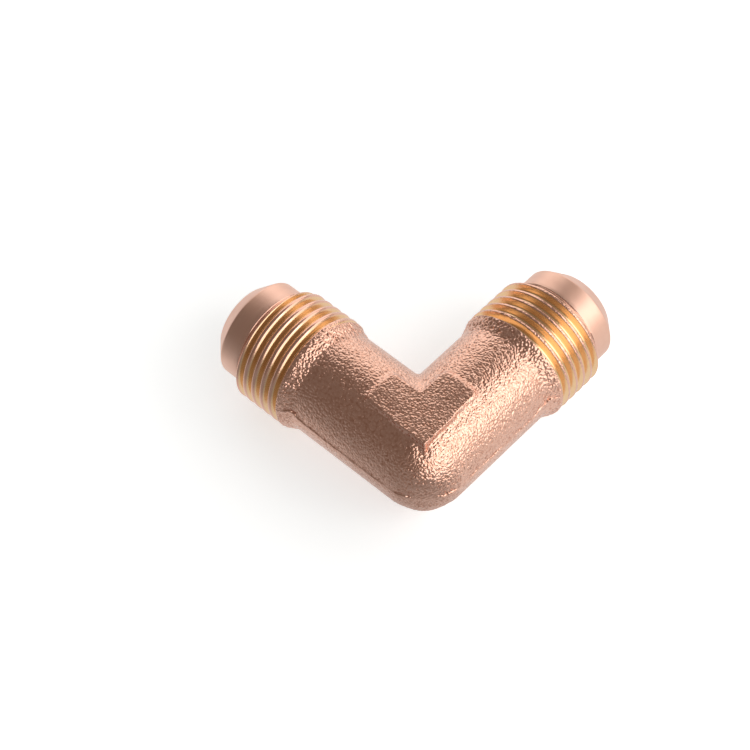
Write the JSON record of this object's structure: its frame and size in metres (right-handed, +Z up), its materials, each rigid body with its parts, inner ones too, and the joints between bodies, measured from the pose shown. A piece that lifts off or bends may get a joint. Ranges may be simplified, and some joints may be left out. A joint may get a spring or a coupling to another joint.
{
  "type": "flare fitting",
  "caption": "Brass 90-degree flare union elbow: a forged round body with an L-shaped wrench pad and a male-threaded 45-degree flare seat on each leg.",
  "frame": {"origin": "crossing of the two leg axes, inside the flow passage", "axes": "+X along the inlet leg, +Y along the outlet leg, +Z up out of the plane of the elbow"},
  "size_m": [0.0379, 0.0379, 0.0158],
  "materials": {
    "forged_brass": "hot-forged skin, fine blasted orange-peel texture, copper-brown",
    "cut_brass_thread": "machined thread, bright yellow flanks, worn rosy crests",
    "turned_brass": "fine turned, satin, faint circular tool marks"
  },
  "bodies": {
    "root": {"forged_elbow_body": "forged_brass", "inlet_flare_thread": "cut_brass_thread", "inlet_flare_nose": "turned_brass", "outlet_flare_thread": "cut_brass_thread", "outlet_flare_nose": "turned_brass"}
  },
  "joints": []
}
